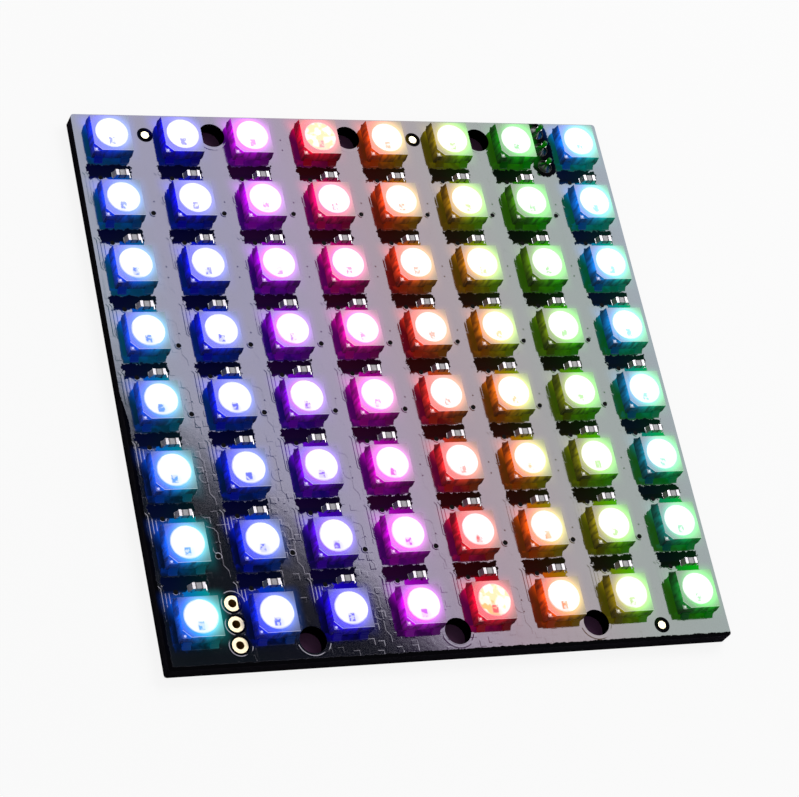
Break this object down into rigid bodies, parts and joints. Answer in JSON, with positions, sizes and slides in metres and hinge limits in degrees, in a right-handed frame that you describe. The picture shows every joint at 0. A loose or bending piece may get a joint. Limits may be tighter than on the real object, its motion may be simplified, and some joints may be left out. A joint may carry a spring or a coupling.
{
  "type": "led dot matrix",
  "caption": "Nearly square black circuit board with a grid of lit colour LED packages, small capacitors between them, plated wire holes in two corners and fixing holes on two edges.",
  "frame": {"origin": "centre of the board's back face, at the bottom centre of the part's box", "axes": "+Z out of the board's lit face, +X along the rows towards the soldered corner, +Y up the columns towards the soldered corner"},
  "size_m": [0.0712, 0.0724, 0.0041],
  "materials": {
    "board": "glossy black solder mask over glass laminate",
    "gold": "bright gold plate",
    "solder": "bright tin",
    "lead_frame": "bright plated strip",
    "housing": "moulded black resin, lightly glossy",
    "driver_chip": "bare silicon",
    "emitter_die": "bare emitter crystal",
    "capacitor_body": "fired ceramic",
    "lens_1": "clear resin, lit from inside",
    "lens_2": "clear resin, lit from inside",
    "lens_3": "clear resin, lit from inside",
    "lens_4": "clear resin, lit from inside",
    "lens_5": "clear resin, lit from inside",
    "lens_6": "clear resin, lit from inside",
    "lens_7": "clear resin, lit from inside",
    "lens_8": "clear resin, lit from inside"
  },
  "bodies": {
    "root": {"board": "board", "gold_plating": "gold", "solder_joints": "solder", "lead_tips": "solder", "led_housings_1": "housing", "led_lenses_1": "lens_1", "led_leads_1": "lead_frame", "driver_chips_1": "driver_chip", "led_dice_1": "emitter_die", "capacitor_bodies_1": "capacitor_body", "capacitor_ends_1": "solder", "led_housings_2": "housing", "led_lenses_2": "lens_2", "led_leads_2": "lead_frame", "driver_chips_2": "driver_chip", "led_dice_2": "emitter_die", "capacitor_bodies_2": "capacitor_body", "capacitor_ends_2": "solder", "led_housings_3": "housing", "led_lenses_3": "lens_3", "led_leads_3": "lead_frame", "driver_chips_3": "driver_chip", "led_dice_3": "emitter_die", "capacitor_bodies_3": "capacitor_body", "capacitor_ends_3": "solder", "led_housings_4": "housing", "led_lenses_4": "lens_4", "led_leads_4": "lead_frame", "driver_chips_4": "driver_chip", "led_dice_4": "emitter_die", "capacitor_bodies_4": "capacitor_body", "capacitor_ends_4": "solder", "led_housings_5": "housing", "led_lenses_5": "lens_5", "led_leads_5": "lead_frame", "driver_chips_5": "driver_chip", "led_dice_5": "emitter_die", "capacitor_bodies_5": "capacitor_body", "capacitor_ends_5": "solder", "led_housings_6": "housing", "led_lenses_6": "lens_6", "led_leads_6": "lead_frame", "driver_chips_6": "driver_chip", "led_dice_6": "emitter_die", "capacitor_bodies_6": "capacitor_body", "capacitor_ends_6": "solder", "led_housings_7": "housing", "led_lenses_7": "lens_7", "led_leads_7": "lead_frame", "driver_chips_7": "driver_chip", "led_dice_7": "emitter_die", "capacitor_bodies_7": "capacitor_body", "capacitor_ends_7": "solder", "led_housings_8": "housing", "led_lenses_8": "lens_8", "led_leads_8": "lead_frame", "driver_chips_8": "driver_chip", "led_dice_8": "emitter_die", "capacitor_bodies_8": "capacitor_body", "capacitor_ends_8": "solder"}
  },
  "joints": []
}
